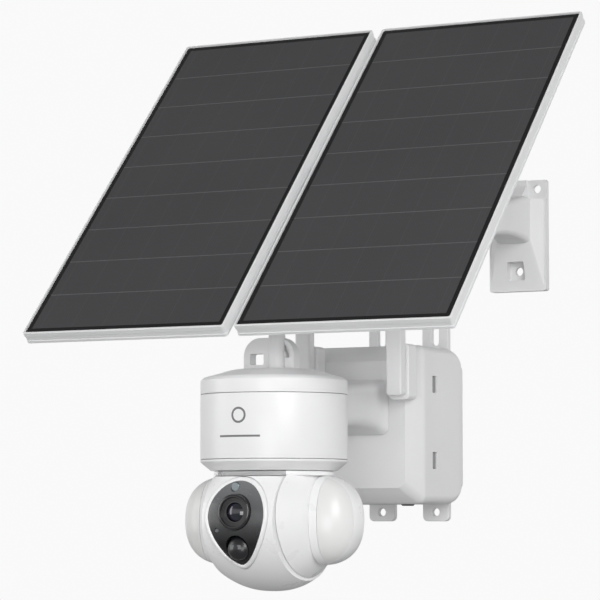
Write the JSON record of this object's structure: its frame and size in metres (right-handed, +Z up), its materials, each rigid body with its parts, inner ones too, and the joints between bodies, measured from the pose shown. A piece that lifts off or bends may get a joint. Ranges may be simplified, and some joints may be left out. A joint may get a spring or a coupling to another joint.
{
  "type": "solar-powered security camera",
  "caption": "Wall camera with a turning, tilting lens head and side lamps under a round can, on an arm from a battery box, with tilted twin solar panels above.",
  "frame": {"origin": "middle of the battery box's flat back, on the wall", "axes": "+Z up, -Y the way the camera looks, away from the wall, +X to the right seen from in front of it"},
  "size_m": [0.337, 0.2912, 0.4248],
  "materials": {
    "shell_white": "fine satin moulded texture",
    "bracket_white": "satin powder coat",
    "panel_frame": "fine brushed, clear anodised",
    "panel_back": "matt laminate",
    "solar_cells": "clear smooth coating over dark cells",
    "face_black": "polished",
    "lens_black": "matt ringed",
    "lens_glass": "coated, polished",
    "sensor_dome": "smoked, polished",
    "diffuser": "frosted",
    "rubber": "matt",
    "inner_plastic": "matt",
    "cell_wrap": "shrink film",
    "circuit_board": "solder mask",
    "lamp_board": "white solder mask on metal core",
    "steel": "fine turned",
    "gear_grey": "moulded"
  },
  "bodies": {
    "wall_unit": {"box_back_plate": "shell_white", "box_seal": "rubber", "box_housing": "shell_white", "charge_inlet": "inner_plastic", "latch_strip_left": "inner_plastic", "latch_strip_right": "inner_plastic", "battery_holder": "inner_plastic", "battery_cell_1": "cell_wrap", "battery_cell_2": "cell_wrap", "charge_board": "circuit_board", "camera_arm": "shell_white", "can_shell": "shell_white", "can_cap": "shell_white", "can_base": "shell_white", "pan_bearing": "steel", "main_board": "circuit_board", "pan_motor": "steel", "top_lug": "shell_white", "top_lug_stud": "shell_white", "antenna_base_left": "shell_white", "antenna_base_right": "shell_white", "bracket_strut": "bracket_white", "bracket_wall_plate": "bracket_white"},
    "pan_yoke": {"yoke": "shell_white", "trunnion_left": "steel", "trunnion_right": "steel", "tilt_wheel": "gear_grey", "pan_wheel": "gear_grey", "lamp_housing_left": "shell_white", "lamp_housing_right": "shell_white", "lamp_diffuser_left": "diffuser", "lamp_diffuser_right": "diffuser", "lamp_board_left": "lamp_board", "lamp_board_right": "lamp_board"},
    "camera_head": {"head_front_shell": "shell_white", "head_rear_shell": "shell_white", "face_bezel": "shell_white", "face_plate": "face_black", "lens_barrel": "lens_black", "lens_glass": "lens_glass", "camera_board": "circuit_board", "motion_sensor_dome": "sensor_dome", "light_sensor": "sensor_dome", "status_light": "sensor_dome", "tilt_motor": "steel"},
    "pan_pinion_gear": {"pan_pinion": "steel"},
    "tilt_pinion_gear": {"tilt_pinion": "steel"},
    "left_antenna": {"antenna_left": "shell_white"},
    "right_antenna": {"antenna_right": "shell_white"},
    "button": {"power_button": "rubber"},
    "swivel": {"swivel_neck": "bracket_white", "tilt_bolt": "steel"},
    "panels": {"panel_frame_left": "panel_frame", "panel_frame_right": "panel_frame", "solar_glass_left": "solar_cells", "solar_glass_right": "solar_cells", "panel_back_left": "panel_back", "panel_back_right": "panel_back", "cross_rail": "bracket_white", "tilt_bracket": "bracket_white"}
  },
  "joints": [
    {"name": "head_pan", "type": "hinge", "parent": "wall_unit", "child": "pan_yoke", "pos_m": [0, -0.224, -0.037], "axis": [0, 0, 1], "range_deg": [-170, 170]},
    {"name": "head_tilt", "type": "hinge", "parent": "pan_yoke", "child": "camera_head", "pos_m": [0, -0.224, -0.0716], "axis": [1, 0, 0], "range_deg": [0, 90]},
    {"name": "pan_pinion_spin", "type": "hinge", "parent": "wall_unit", "child": "pan_pinion_gear", "pos_m": [0, -0.1997, -0.0256], "axis": [0, 0, 1], "range_deg": [-515, 515]},
    {"name": "tilt_pinion_spin", "type": "hinge", "parent": "camera_head", "child": "tilt_pinion_gear", "pos_m": [-0.023, -0.224, -0.0919], "axis": [1, 0, 0], "range_deg": [-5, 275]},
    {"name": "antenna_left_fold", "type": "hinge", "parent": "wall_unit", "child": "left_antenna", "pos_m": [-0.038, -0.1004, 0.0264], "axis": [0, -1, 0], "range_deg": [0, 90]},
    {"name": "antenna_right_fold", "type": "hinge", "parent": "wall_unit", "child": "right_antenna", "pos_m": [0.038, -0.1004, 0.0264], "axis": [0, 1, 0], "range_deg": [0, 90]},
    {"name": "power_press", "type": "slide", "parent": "wall_unit", "child": "button", "axis": [0, 0, 1], "range_m": [0, 0.0012], "stiffness_N_per_m": 400},
    {"name": "panel_swivel", "type": "hinge", "parent": "wall_unit", "child": "swivel", "pos_m": [0.0933, -0.14486, 0.137], "axis": [0, 0, 1], "range_deg": [-8, 15]},
    {"name": "panel_tilt", "type": "hinge", "parent": "swivel", "child": "panels", "pos_m": [0.0933, -0.14636, 0.1556], "axis": [1, 0, 0], "range_deg": [-15, 5]}
  ],
  "couplings": [
    {"joint": "pan_pinion_spin", "follows": "head_pan", "ratio": -3},
    {"joint": "tilt_pinion_spin", "follows": "head_tilt", "ratio": 3}
  ]
}
